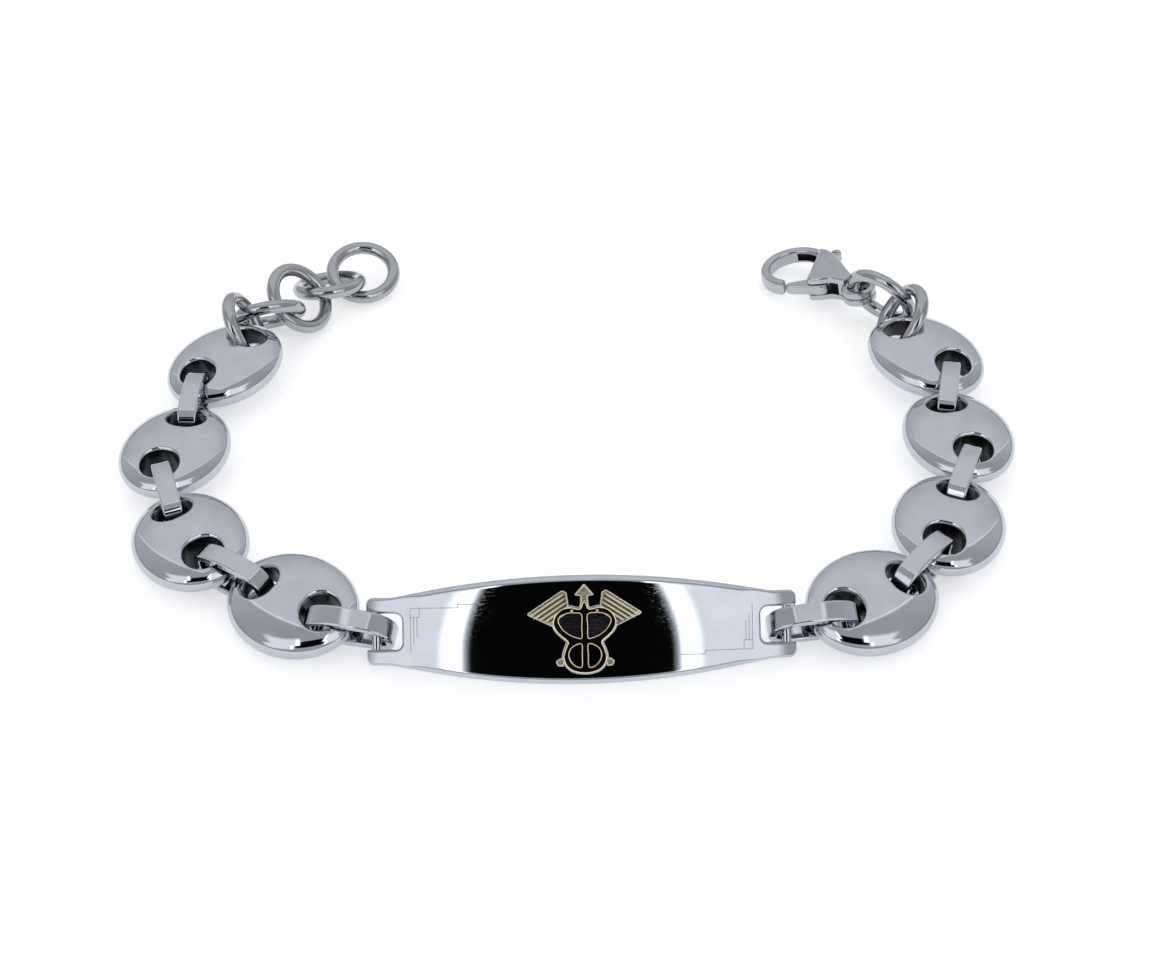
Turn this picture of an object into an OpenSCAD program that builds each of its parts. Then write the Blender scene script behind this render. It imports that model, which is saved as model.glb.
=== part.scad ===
// Medical alert bracelet lying open on a table: an arched ID plate with a raised caduceus,
// four puffed links each side joined by flat bar links, an extension of round rings on the
// left and a lobster clasp on two rings on the right. Millimetres, +Z up, plate at the front.

/* [ID plate] */
// Length of the plate, straight across from end to end
plate_l = 41; // [34:1:50]
// Width of the plate at its middle
plate_w = 10.2; // [9:0.1:13]
// Width of the plate across each forked end
fork_w = 6.4; // [6:0.2:8]
// Thickness of the plate
plate_t = 1.8; // [1.4:0.1:2.4]
// Height of the plate's arch from its ends to its middle
plate_bow = 3.2; // [2:0.2:5]
// Angle that the plate leans up from the table
plate_lean = 48; // [30:1:60]
// Depth of the notch in each forked end
notch_d = 3.6; // [2.8:0.2:4.4]
// Width of the notch in each forked end
notch_w = 3.4; // [3:0.1:4]
// Radius of the notch's inner corners
notch_r = 0.7; // [0.3:0.1:1]
// Radius of the fork tips' corners
tip_r = 0.7; // [0.3:0.1:1.2]
// Drop of the fork's face at its tips
fork_drop = 0.35; // [0.1:0.05:0.5]
// Diameter of the pins across the notches
pin_d = 0.9; // [0.7:0.1:1.1]
// Distance of the pins from the plate's ends
pin_inset = 1.1; // [0.9:0.1:1.5]
// Width of an engraved line
line_w = 0.14; // [0.1:0.02:0.3]
// Depth of an engraved line
line_d = 0.1; // [0.05:0.01:0.2]

/* [Caduceus] */
// Height of the emblem from the arrow's tip to the snakes' lowest bend
emblem_h = 8.5; // [7:0.1:10]
// Distance of the emblem's middle from the plate's middle
emblem_x = 0.3; // [-1:0.1:1]
// Height that the emblem stands above the plate
emblem_t = 0.7; // [0.4:0.1:1.2]
// Depth of the feather grooves
feather_d = 0.3; // [0.1:0.1:0.4]

/* [Puffed links] */
// Length of a puffed link
link_l = 14; // [12:0.5:18]
// Width of a puffed link
link_w = 11.5; // [9.5:0.5:15]
// Thickness of a puffed link at its middle
link_t = 4.3; // [3.8:0.1:5.2]
// Length of each hole, along the link
hole_l = 4; // [3.6:0.1:4.6]
// Width of each hole, across the link
hole_w = 4.8; // [4:0.1:5.6]
// Thickness of the rim between a hole and the link's end
rim_w = 1.4; // [1:0.1:2]
// Height of the links' centres above the table
link_z = 2.7; // [2.4:0.1:3.4]
// Fullness of a link's section: 1 is an ellipse, and less is fuller towards its rim
link_full = 0.9; // [0.8:0.05:1]
// Smallest gap between the ends of two puffed links
link_gap = 0.25; // [0.2:0.05:1]
// Slope that the rings give the two end links
end_tilt = 4; // [0:0.5:6]

/* [Bar links] */
// Length of a flat bar link outside
bar_l = 9; // [8.6:0.1:10]
// Height of a flat bar link outside
bar_h = 5.4; // [5:0.1:6.4]
// Width of the flat bar
bar_w = 2; // [1.6:0.1:2.4]
// Thickness of the flat bar
bar_t = 0.9; // [0.7:0.1:1.2]
// Outer radius of a bar link's corners
bar_r = 1.6; // [1.2:0.1:2]

/* [Rings] */
// Outer diameter of a jump ring
ring_d = 8.7; // [8:0.1:10]
// Thickness of the rings' wire
wire_d = 1.5; // [1:0.1:1.8]

/* [Lobster clasp] */
// Radius of the hook's outer edge
hook_r = 4.2; // [3.9:0.1:5]
// Width of the hook's band, seen from above
hook_w = 1.1; // [0.9:0.05:1.4]
// Thickness of the hook
hook_t = 1.8; // [1.4:0.1:2.4]
// Distance from the eye's centre to the hook's centre
hook_x = 9.5; // [9:0.1:11]
// Thickness of the clasp's body
body_t = 3.1; // [2.6:0.1:3.6]
// Thickness of the lever
lever_t = 1.3; // [0.9:0.1:1.5]
// Outer diameter of the eye
eye_d = 3.9; // [3.6:0.1:4.6]
// Diameter of the hole in the eye
eye_hole_d = 2.4; // [2:0.1:2.6]
// Thickness of the walls round the pocket in the hook's root
pocket_wall = 0.4; // [0.3:0.05:0.5]
// Thickness of the eye
eye_t = 1.8; // [1.6:0.1:2.4]
// Diameter of the lever's pin
lever_pin_d = 1; // [0.7:0.1:1.2]

/* [Hidden] */
$fn = 64;
// Facets round a puffed link, and rows of them from its lowest point to its highest
link_sides = 32;
link_rows = 14;
steel = [0.72, 0.74, 0.78];
satin = [0.62, 0.64, 0.67];
gold = [0.86, 0.80, 0.58];
// Running clearance on a radius, and the play between pieces that lie side by side
run = 0.03;
play = 0.1;
// Room that a cutting tool takes beyond the piece that it cuts
cut = 1;

// The way the bracelet lies, walking out from each plate pin. Each row is one puffed link:
// direction from the last piece, heading of the link, gap to the last piece, roll to the front
CHAIN_LEFT = [[153, 146, 2.4, 12], [140, 122, 0.8, 4], [104, 76, 1.0, 0], [76, 49, 1.2, 0]];
CHAIN_RIGHT = [[20, 32, 2.2, 12], [50, 71, 0.4, 4], [77, 103, 0.3, 0], [96, 130, 0.3, 0]];
// Roll of the bar links that hold the plate, and of those after them
BAR_ROLL = [24, 8, 2, 0];
// How the bar links that hold the plate lie: share of the turn towards the next link, and
// shift towards the plate and towards the front
FIRST_BAR = [0.6, 0.14, 0.12];
// The rings and the clasp's eye, as seen from the last link's far hole. Each row is one ring:
// place along X, Y and height as shares of its diameter, heading and lean of its plane. The
// eye's row goes on with how far the clasp dips to its hook, and leans to the front
RINGS_LEFT = [
    [-0.07, 0.3, 0.47, 92, 66], [0.18, 0.66, 0.41, 14, -49], [0.56, 1.01, 0.42, 67, 46],
    [0.9, 1.52, 0.26, 15, -21], [1.33, 1.82, 0.25, 16, 19]
];
RINGS_RIGHT = [[0.04, 0.33, 0.45, 93, 122], [-0.17, 0.741, 0.524, 141, 66.1]];
CLASP = [-0.425, 1.004, 0.42, 133, 10.5, 4.5];
// Where the plate's middle lies in the model's frame, which puts the frame at the box's middle
PLATE_AT = [1.2, -32.14];

// ID plate: arch, outline and pins
half_l = plate_l / 2;
arch_r = (half_l * half_l + plate_bow * plate_bow) / (2 * plate_bow);
flare_x = half_l - 0.75 * notch_d;
flare = (plate_w - fork_w) / 2;
edge_r = (flare_x * flare_x + flare * flare) / (2 * flare);
pin_x = half_l - pin_inset;
function arch_z(r, x) = sqrt(r * r - x * x) - arch_r;
pin_z = arch_z(arch_r - plate_t / 2, pin_x);
fork_foot = fork_w / 2 * sin(plate_lean) - arch_z(arch_r - plate_t, half_l) * cos(plate_lean);
middle_foot = plate_w / 2 * sin(plate_lean) + plate_t * cos(plate_lean);
plate_z = max(fork_foot, middle_foot);
function pin_at(side) = [
    PLATE_AT[0] + side * pin_x,
    PLATE_AT[1] - pin_z * sin(plate_lean),
    plate_z + pin_z * cos(plate_lean)
];

// Puffed links: where their holes lie, and where the chain puts them
hole_x = link_l / 2 - rim_w - hole_l / 2;
function rows(side) = side < 0 ? CHAIN_LEFT : CHAIN_RIGHT;
function flat_dir(a) = [cos(a), sin(a), 0];
function reach(turn) = 1 / sqrt(pow(2 * cos(turn) / link_l, 2) + pow(2 * sin(turn) / link_w, 2));
function step(side, i) = let (r = rows(side)) max(r[i][2], link_gap) + reach(r[i][0] - r[i][1])
    + (i == 0 ? 0 : reach(r[i][0] - r[i - 1][1]));
function link_at(side, i) = step(side, i) * flat_dir(rows(side)[i][0])
    + (i == 0 ? [pin_at(side)[0], pin_at(side)[1], link_z] : link_at(side, i - 1));
function heading(side, i) = rows(side)[i][1];
function near_hole(side, i) = link_at(side, i) - hole_x * flat_dir(heading(side, i));
function far_hole(side, i) = link_at(side, i) + hole_x * flat_dir(heading(side, i));

// Bar links: each one stands on the table and runs from the pin or the last link's far hole
// to the next near hole
function bar_start(side, i) = i == 0 ? pin_at(side) : far_hole(side, i - 1);
function bar_stand(i) = bar_h / 2 * cos(BAR_ROLL[i]) + bar_w / 2 * sin(BAR_ROLL[i]);
function bar_mid(side, i) = let (m = (bar_start(side, i) + near_hole(side, i)) / 2)
    [m[0], m[1], bar_stand(i)] - (i == 0 ? [side * FIRST_BAR[1], FIRST_BAR[2], 0] : [0, 0, 0]);
function bar_turn(side, i) = let (w = near_hole(side, i) - bar_start(side, i))
    atan2(w[1] * (i == 0 ? FIRST_BAR[0] : 1), w[0]);

ring_r = (ring_d - wire_d) / 2;
function row_at(side, row) = [
    far_hole(side, 3)[0] + row[0] * ring_d,
    far_hole(side, 3)[1] + row[1] * ring_d,
    row[2] * ring_d
];

// Clasp: outline of its cheeks as shares of the hook's distance and of the hook's radius,
// the lever's pivot, and the middle of the lever's round nose, which meets the hook's tip
CHEEK = [
    [0.155, -0.2], [0.326, -0.39], [0.506, -0.635], [0.68, -0.815], [0.835, -0.93], [0.96, -0.985],
    [0.97, -0.75], [0.902, -0.7], [0.814, -0.37], [0.742, -0.06], [0.598, 0.58],
    [0.536, 0.57], [0.446, 0.425], [0.35, 0.225], [0.155, 0.15]
];
pivot = [0.505 * hook_x, 0.28 * hook_r];
nose = [0.804 * hook_x, 0.78 * hook_r];
nose_r = 0.4 * hook_w;
lever_reach = norm(nose - pivot) + nose_r;
lever_hub_r = 1.1 * lever_pin_d;
tab_turn = -66;
tab_l = 1.55 * hook_r;

// Flat shapes
module round_rect(l, w, r) {
    square([l - 2 * r, w], center = true);
    square([l, w - 2 * r], center = true);
    for (x = [-1, 1], y = [-1, 1]) translate([x * (l / 2 - r), y * (w / 2 - r)]) circle(r = r);
}

module slab(t) {
    linear_extrude(t, center = true) children();
}

module mirrored_x() {
    children();
    mirror([1, 0, 0]) children();
}

// The plate's frame: X along the plate, Y up its face, Z out of its face
module on_plate() {
    translate([PLATE_AT[0], PLATE_AT[1], plate_z]) rotate([plate_lean, 0, 0]) children();
}

// The layer of the plate's arch between two heights above its face
module arch_layer(low, high) {
    translate([0, 0, -arch_r]) rotate([90, 0, 0]) difference() {
        cylinder(r = arch_r + high, h = plate_w + 2 * cut, center = true, $fn = 360);
        cylinder(r = arch_r + low, h = plate_w + 4 * cut, center = true, $fn = 360);
    }
}

module through_plate() {
    depth = plate_bow + plate_t + 2 * cut;
    translate([0, 0, cut - depth]) linear_extrude(depth + cut) children();
}

module plate_outline() {
    intersection() {
        square([plate_l, plate_w], center = true);
        intersection_for (s = [-1, 1])
            translate([0, s * (edge_r - plate_w / 2)]) circle(r = edge_r, $fn = 360);
    }
    round_rect(plate_l, fork_w, tip_r);
}

module notch() {
    translate([half_l, 0]) {
        translate([cut, 0]) square([2 * (notch_d - notch_r + cut), notch_w], center = true);
        square([2 * notch_d, notch_w - 2 * notch_r], center = true);
        for (s = [-1, 1]) translate([notch_r - notch_d, s * (notch_w / 2 - notch_r)]) circle(r = notch_r);
    }
}

// Engraved line ornament of one end: a small square, lines down from it and a stepped line
module engraving() {
    box = 0.09 * plate_w;
    x = half_l - notch_d - 0.9 * box;
    y = 0.13 * plate_w;
    lines = [[0, 0.32 * plate_w], [0.35 * box, 0.24 * plate_w], [0.7 * box, 0.18 * plate_w]];
    translate([-x, y]) {
        difference() {
            translate([-line_w / 2, -line_w / 2]) square(box + line_w);
            translate([line_w / 2, line_w / 2]) square(box - line_w);
        }
        for (l = lines) translate([l[0] - line_w / 2, -l[1]]) square([line_w, l[1]]);
        translate([box, box]) square([0.09 * plate_l, line_w]);
        translate([box + 0.09 * plate_l, box]) square([line_w, 0.35 * box]);
        translate([box + 0.09 * plate_l, 1.35 * box]) square([0.06 * plate_l, line_w]);
    }
}

module id_plate() {
    color(steel) on_plate() difference() {
        intersection() {
            through_plate() plate_outline();
            arch_layer(-plate_t, 0);
        }
        mirrored_x() through_plate() notch();
        mirrored_x() fork_ramp();
        mirrored_x() translate([pin_x, 0, pin_z]) rotate([90, 0, 0])
            cylinder(d = pin_d + 2 * run, h = plate_w, center = true);
        for (turn = [0, 180]) intersection() {
            rotate([0, 0, turn]) through_plate() engraving();
            arch_layer(-line_d, cut);
        }
    }
}

// What the fork's face loses as it slopes down to its tips
module fork_ramp() {
    ramp = notch_d + notch_r;
    x = half_l - ramp;
    slope = atan2(arch_z(arch_r, x) - arch_z(arch_r, half_l) + fork_drop, ramp);
    translate([x, 0, arch_z(arch_r, x)]) rotate([0, slope, 0]) translate([-ramp, -plate_w / 2, 0])
        cube([3 * ramp, plate_w, plate_t]);
}

module plate_pin(side) {
    color(steel) on_plate() translate([side * pin_x, 0, pin_z]) rotate([90, 0, 0])
        cylinder(d = pin_d, h = fork_w - 2 * play, center = true);
}

// Caduceus: two snakes in a figure of eight round an arrow-headed staff, with wings and tail
// tips, and each place as a share of the emblem's height
module snakes() {
    difference() {
        mirrored_x() {
            translate([0.154, 0.05] * emblem_h) circle(r = 0.203 * emblem_h);
            translate([0.077, -0.286] * emblem_h) circle(r = 0.187 * emblem_h);
        }
        mirrored_x() {
            translate([0.16, 0.045] * emblem_h) circle(r = 0.125 * emblem_h);
            translate([0.07, -0.28] * emblem_h) circle(r = 0.112 * emblem_h);
        }
    }
}

module staff() {
    polygon([
        [0, 0.505], [0.115, 0.375], [0.042, 0.375], [0.042, -0.45],
        [-0.042, -0.45], [-0.042, 0.375], [-0.115, 0.375]
    ] * emblem_h);
}

module wing() {
    polygon([
        [0.14, 0.2], [0.19, 0.41], [0.22, 0.43], [0.64, 0.175], [0.36, 0.04], [0.3, 0.05]
    ] * emblem_h);
}

module tail_tip() {
    polygon([[0.22, -0.27], [0.32, -0.32], [0.3, -0.38], [0.2, -0.38]] * emblem_h);
}

module feather_grooves() {
    for (i = [1 : 4]) translate([0.22, 0.43 - 0.08 * i, 0] * emblem_h) rotate(-31)
        translate([0.015 * i * emblem_h, 0, emblem_t - feather_d])
            cube([0.42 - 0.055 * i, 0.02, 1] * emblem_h);
}

module caduceus() {
    color(gold) on_plate() difference() {
        intersection() {
            translate([emblem_x, 0, 0]) {
                slab(3 * emblem_t) snakes();
                slab(3 * emblem_t) staff();
                mirrored_x() {
                    slab(3 * emblem_t) wing();
                    slab(3 * emblem_t) tail_tip();
                }
            }
            arch_layer(run, emblem_t);
        }
        translate([emblem_x, 0, 0]) mirrored_x() feather_grooves();
    }
}

// Puffed link: a faceted oval lens with two holes
function lens_point(a, b) = let (out = pow(sin(b), link_full), up = pow(abs(cos(b)), link_full))
    [link_l * cos(a) * out, link_w * sin(a) * out, -sign(cos(b)) * link_t * up] / 2;

module lens(n, m) {
    points = [for (j = [0 : m - 1], i = [0 : n - 1]) lens_point(360 * i / n, 180 * (j + 0.5) / m)];
    low = [for (i = [0 : n - 1]) i];
    high = [for (i = [n - 1 : -1 : 0]) (m - 1) * n + i];
    sides = [for (j = [0 : m - 2], i = [0 : n - 1])
        [j * n + i, (j + 1) * n + i, (j + 1) * n + (i + 1) % n, j * n + (i + 1) % n]];
    polyhedron(points, concat([low, high], sides));
}

module link_hole() {
    r = hole_l / 2;
    for (s = [-1, 1]) translate([0, s * (hole_w / 2 - r), 0])
        cylinder(r = r, h = link_t + cut, center = true);
    cube([hole_l, hole_w - hole_l, link_t + cut], center = true);
}

module puffed_link(side, i) {
    last = i == 3 ? end_tilt : 0;
    color(steel) translate(link_at(side, i)) rotate([0, 0, heading(side, i)])
        rotate([side * rows(side)[i][3], 0, 0])
        translate([-hole_x, 0, 0]) rotate([0, -last, 0]) translate([hole_x, 0, 0]) difference() {
            lens(link_sides, link_rows);
            for (s = [-1, 1]) translate([s * hole_x, 0, 0]) link_hole();
        }
}

// Bar link: a loop of flat bar that stands on its edge
module bar_link(side, i) {
    color(steel) translate(bar_mid(side, i)) rotate([0, 0, bar_turn(side, i)])
        rotate([90 + side * BAR_ROLL[i], 0, 0]) linear_extrude(bar_w, center = true) difference() {
            round_rect(bar_l, bar_h, bar_r);
            round_rect(bar_l - 2 * bar_t, bar_h - 2 * bar_t, bar_r - bar_t);
        }
}

module ring(side, row) {
    color(steel) translate(row_at(side, row)) rotate([0, 0, row[3]]) rotate([row[4], 0, 0])
        rotate_extrude() translate([ring_r, 0]) circle(d = wire_d);
}

// The clasp's frame: X from its eye to its hook, Y to the front, Z along the lever's pin
module on_clasp() {
    translate(row_at(1, CLASP)) rotate([-CLASP[5], CLASP[4], CLASP[3]]) children();
}

module hook_band() {
    translate([hook_x, 0]) difference() {
        circle(r = hook_r);
        circle(r = hook_r - hook_w);
    }
}

// The hook runs round from the cheeks to its tip, which the lever's nose swings clear of
module hook() {
    slab(hook_t) difference() {
        intersection() {
            hook_band();
            translate([0.815 * hook_x, -2 * hook_r]) square(4 * hook_r);
        }
        intersection() {
            translate(pivot) circle(r = lever_reach + 2 * play);
            translate(pivot) square(2 * hook_r);
        }
    }
}

// Two cheeks, joined at the neck and at the root of the hook
module cheeks() {
    difference() {
        slab(body_t) polygon([for (p = CHEEK) [p[0] * hook_x, p[1] * hook_r]]);
        slab(lever_t + 2 * play) difference() {
            translate([0.27 * hook_x, -2 * hook_r]) square(4 * hook_r);
            translate([0.82 * hook_x, -2.57 * hook_r]) square(2 * hook_r);
        }
    }
}

// The pocket that the hook's root has on its inside, where the lever's spring sits
module pocket() {
    slab(hook_t - 2 * pocket_wall) intersection() {
        translate([hook_x, 0]) circle(r = hook_r - pocket_wall);
        translate([0.78 * hook_x, -2 * hook_r]) square([hook_x, 1.43 * hook_r]);
    }
}

module eye() {
    groove = eye_t / 4;
    rotate_extrude() difference() {
        translate([eye_hole_d / 2, -eye_t / 2]) square([(eye_d - eye_hole_d) / 2, eye_t]);
        polygon([[eye_d / 2 - groove, 0], [eye_d / 2 + cut, -groove - cut], [eye_d / 2 + cut, groove + cut]]);
    }
}

module clasp_body() {
    color(satin) on_clasp() difference() {
        union() {
            hook();
            cheeks();
            eye();
        }
        translate(pivot) cylinder(d = lever_pin_d + 2 * run, h = body_t - 2 * play, center = true);
        pocket();
    }
}

// A flat bar with round ends that narrows from one to the other
module tapered(start, end, start_r, end_r) {
    along = end - start;
    turn = acos((start_r - end_r) / norm(along));
    heading = atan2(along[1], along[0]);
    function side_of(place, r, s) = place + r * [cos(heading + s * turn), sin(heading + s * turn)];
    translate(start) circle(r = start_r);
    translate(end) circle(r = end_r);
    polygon([
        side_of(start, start_r, 1), side_of(start, start_r, -1),
        side_of(end, end_r, -1), side_of(end, end_r, 1)
    ]);
}

module clasp_lever() {
    color(satin) on_clasp() difference() {
        slab(lever_t) {
            tapered(pivot, nose, lever_hub_r, nose_r);
            translate(pivot) rotate(tab_turn) {
                translate([0, -0.4 * lever_pin_d]) square([tab_l, 0.8 * lever_pin_d]);
                translate([tab_l, 0]) circle(r = 0.65 * lever_pin_d);
            }
        }
        translate(pivot) cylinder(d = lever_pin_d + 2 * run, h = body_t, center = true);
    }
}

module clasp_pin() {
    color(satin) on_clasp() translate(pivot)
        cylinder(d = lever_pin_d, h = body_t - 3 * play, center = true);
}

id_plate();
plate_pin(-1);  // plate_pin_left
plate_pin(1);  // plate_pin_right
caduceus();
puffed_link(-1, 0);  // puffed_link_left_1
puffed_link(-1, 1);  // puffed_link_left_2
puffed_link(-1, 2);  // puffed_link_left_3
puffed_link(-1, 3);  // puffed_link_left_4
puffed_link(1, 0);  // puffed_link_right_1
puffed_link(1, 1);  // puffed_link_right_2
puffed_link(1, 2);  // puffed_link_right_3
puffed_link(1, 3);  // puffed_link_right_4
bar_link(-1, 0);  // bar_link_left_1
bar_link(-1, 1);  // bar_link_left_2
bar_link(-1, 2);  // bar_link_left_3
bar_link(-1, 3);  // bar_link_left_4
bar_link(1, 0);  // bar_link_right_1
bar_link(1, 1);  // bar_link_right_2
bar_link(1, 2);  // bar_link_right_3
bar_link(1, 3);  // bar_link_right_4
ring(-1, RINGS_LEFT[0]);  // ring_left_1
ring(-1, RINGS_LEFT[1]);  // ring_left_2
ring(-1, RINGS_LEFT[2]);  // ring_left_3
ring(-1, RINGS_LEFT[3]);  // ring_left_4
ring(-1, RINGS_LEFT[4]);  // ring_left_5
ring(1, RINGS_RIGHT[0]);  // ring_right_1
ring(1, RINGS_RIGHT[1]);  // ring_right_2
clasp_body();
clasp_lever();
clasp_pin();
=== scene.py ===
import math

import bpy
import numpy as np
from mathutils import Matrix, Vector
from mathutils.geometry import delaunay_2d_cdt


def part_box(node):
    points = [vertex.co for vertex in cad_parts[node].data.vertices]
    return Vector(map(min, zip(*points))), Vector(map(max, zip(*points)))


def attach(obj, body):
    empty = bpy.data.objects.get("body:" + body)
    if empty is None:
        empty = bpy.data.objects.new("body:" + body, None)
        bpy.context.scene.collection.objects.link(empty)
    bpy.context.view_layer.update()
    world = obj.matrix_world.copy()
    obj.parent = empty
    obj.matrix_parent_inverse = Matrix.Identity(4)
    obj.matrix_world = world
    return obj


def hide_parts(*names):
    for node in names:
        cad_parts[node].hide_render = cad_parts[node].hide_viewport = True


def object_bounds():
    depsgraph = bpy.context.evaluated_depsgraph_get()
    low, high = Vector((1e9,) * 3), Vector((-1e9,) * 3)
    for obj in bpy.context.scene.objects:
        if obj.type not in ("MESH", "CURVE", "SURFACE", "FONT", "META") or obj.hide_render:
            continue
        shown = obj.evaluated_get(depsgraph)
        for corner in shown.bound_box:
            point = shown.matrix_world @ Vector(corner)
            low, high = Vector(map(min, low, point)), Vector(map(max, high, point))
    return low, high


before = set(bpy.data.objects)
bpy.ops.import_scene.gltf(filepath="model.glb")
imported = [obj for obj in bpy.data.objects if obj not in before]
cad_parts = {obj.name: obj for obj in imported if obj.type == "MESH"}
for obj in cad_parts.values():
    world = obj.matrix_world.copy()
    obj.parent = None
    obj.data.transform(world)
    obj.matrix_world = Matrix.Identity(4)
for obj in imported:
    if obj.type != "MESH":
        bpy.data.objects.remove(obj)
CAD_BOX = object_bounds()
MM = 0.001

# The bracelet's own sizes, in millimetres, as the frame has them
PLATE_AT = (1.2, -32.14, 5.784)
PLATE_LEAN = 48
PLATE_T = 1.8
ARCH_R = 67.26
EDGE_R = 84.33
HALF_L = 20.5
HALF_W = 5.1
FORK_HALF_W = 3.2
NOTCH_D = 3.6
NOTCH_HALF_W = 1.7
CORNER_R = 0.7
FORK_DROP = 0.35
EMBLEM_T = 0.7
EMBLEM_SCALE = 0.934
EMBLEM_X = 0.3
LINK_HALF = (6.95, 5.71, 2.19)
LINK_POWER = 2.25
HOLE_X = 3.6
HOLE_MID = 3.725
HOLE_R = 1.775
HOLE_SHIFT = 0.275
HOLE_EDGE = 0.4
BAR_HALF = (4.5, 2.7, 1.0)
BAR_T = 0.9
BAR_OUTER_OVAL = 0.82
BAR_INNER_OVAL = 0.5
BAR_EDGE = 0.2
RING_R = 3.6
WIRE_R = 0.75
WIRE_SIDES = 28
RING_STATIONS = 120
HOOK_X = 9.5
HOOK_R = 4.2
HOOK_W = 1.1
HOOK_MID_R = HOOK_R - HOOK_W / 2
HOOK_T = 1.8
BODY_HALF_T = 1.55
SLOT_HALF_T = 0.75
POCKET_HALF_T = 0.5
POCKET_WALL = 0.4
LEVER_T = 1.3
PIVOT = (4.7975, 1.176)
NOSE = (7.638, 3.276)
NOSE_R = 0.44
HUB_R = 1.1
TAB_TURN = -66
TAB_L = 6.51
KNOB_R = 0.65
PIN_R = 0.5
PIN_HALF = 1.4
PLATE_PIN_R = 0.45
PLATE_PIN_HALF = 3.0

# Heading and roll of each puffed link, and roll of each bar link
LINK_POSE = {
    "left": [(146, -12), (122, -4), (76, 0), (49, 0)],
    "right": [(32, 12), (71, 4), (103, 0), (130, 0)],
}
END_TILT = 4
BAR_ROLL = [24, 8, 2, 0]
FIRST_BAR_TURN = 0.6
# Heading, lean of the plane and place of the seam of each ring
RING_POSE = {
    "ring_left_1": (92, 66, 250), "ring_left_2": (14, -49, 200), "ring_left_3": (67, 46, 20),
    "ring_left_4": (15, -21, 118), "ring_left_5": (16, 19, 300),
    "ring_right_1": (93, 122, 40), "ring_right_2": (141, 66.1, 160),
}
CLASP_AT = (33.891, 23.396, 3.654)
CLASP_TURN = ((133, "Z"), (10.5, "Y"), (-4.5, "X"))


def turned(*turns):
    """A rotation matrix of turns such as (90, "Z"), the last one done first."""
    made = Matrix.Identity(3)
    for degrees, axis in turns:
        made = made @ Matrix.Rotation(math.radians(degrees), 3, axis)
    return made


# Camera, where the photograph was taken from

CAMERA_TARGET = Vector((0.95, -5.84, 0)) * MM
CAMERA_DISTANCE = 205 * MM
CAMERA_ELEVATION = math.radians(41.3)
CAMERA_ROLL = math.radians(1.15)
CAMERA_LENS = 61.125


def make_camera():
    """The camera at the photograph's viewing angle, rolled a little as it was."""
    data = bpy.data.cameras.new("camera")
    data.lens = CAMERA_LENS
    data.sensor_width = 36
    data.sensor_fit = "HORIZONTAL"
    data.clip_start = 0.01
    data.clip_end = 10
    camera = bpy.data.objects.new("camera", data)
    bpy.context.scene.collection.objects.link(camera)
    bpy.context.scene.camera = camera
    across = Vector((1, 0, 0))
    upward = Vector((0, math.sin(CAMERA_ELEVATION), math.cos(CAMERA_ELEVATION)))
    back = Vector((0, -math.cos(CAMERA_ELEVATION), math.sin(CAMERA_ELEVATION)))
    right = math.cos(CAMERA_ROLL) * across - math.sin(CAMERA_ROLL) * upward
    up = math.sin(CAMERA_ROLL) * across + math.cos(CAMERA_ROLL) * upward
    turn = Matrix((right, up, back)).transposed().to_4x4()
    camera.matrix_world = Matrix.Translation(CAMERA_TARGET + CAMERA_DISTANCE * back) @ turn


# Materials


class Nodes:
    """A node tree, with short ways to add nodes and join them."""

    def __init__(self, tree):
        self.tree = tree
        tree.nodes.clear()

    def add(self, kind, **inputs):
        node = self.tree.nodes.new(kind)
        for name, value in inputs.items():
            self.feed(node, name.replace("_", " "), value)
        return node

    def feed(self, node, name, value):
        socket = node.inputs[int(name[1:]) if name[1:].isdigit() else name]
        if isinstance(value, bpy.types.NodeSocket):
            self.tree.links.new(value, socket)
        else:
            socket.default_value = value

    def math(self, operation, a, b=0.0, c=0.0):
        node = self.add("ShaderNodeMath", i0=a, i1=b, i2=c)
        node.operation = operation
        return node.outputs[0]

    def mapped(self, value, low, high, to_low, to_high, smooth=False):
        node = self.tree.nodes.new("ShaderNodeMapRange")
        node.interpolation_type = "SMOOTHSTEP" if smooth else "LINEAR"
        for i, v in enumerate((value, low, high, to_low, to_high)):
            self.feed(node, f"i{i}", v)
        return node.outputs[0]

    def fade(self, value, ends, start=0.0, end=1.0):
        """A soft step from start to end while the value goes from one of the ends to the other."""
        return self.mapped(value, *ends, start, end, smooth=True)

    def apart(self, value, place):
        """How far the value is from a place."""
        return self.math("ABSOLUTE", self.math("SUBTRACT", value, place))

    def dot(self, vector, direction):
        node = self.tree.nodes.new("ShaderNodeVectorMath")
        node.operation = "DOT_PRODUCT"
        self.feed(node, "i0", vector)
        self.feed(node, "i1", direction)
        return node.outputs["Value"]


def new_material(name):
    """A material with an empty node tree."""
    material = bpy.data.materials.new(name)
    material.use_nodes = True
    return material, Nodes(material.node_tree)


# Noise scales and ranges of the metals' broad tone, fine grain and hairline scratches
TONE_SCALE = 420.0
TONE_RANGE = (0.3, 0.7)
TONE_CHANGE = 0.06
GRAIN_SCALE = 9000.0
HAIR_SCALE = 650.0
HAIR_STRETCH = (1.0, 22.0, 22.0)
HAIR_TURN = (0.3, 0.2, 0.7)
HAIR_RANGE = (0.60, 0.66)
HAIR_ROUGHNESS = 0.35
ROUGH_RANGE = (0.3, 0.9)
BUMP_DEPTH = 0.00002


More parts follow.
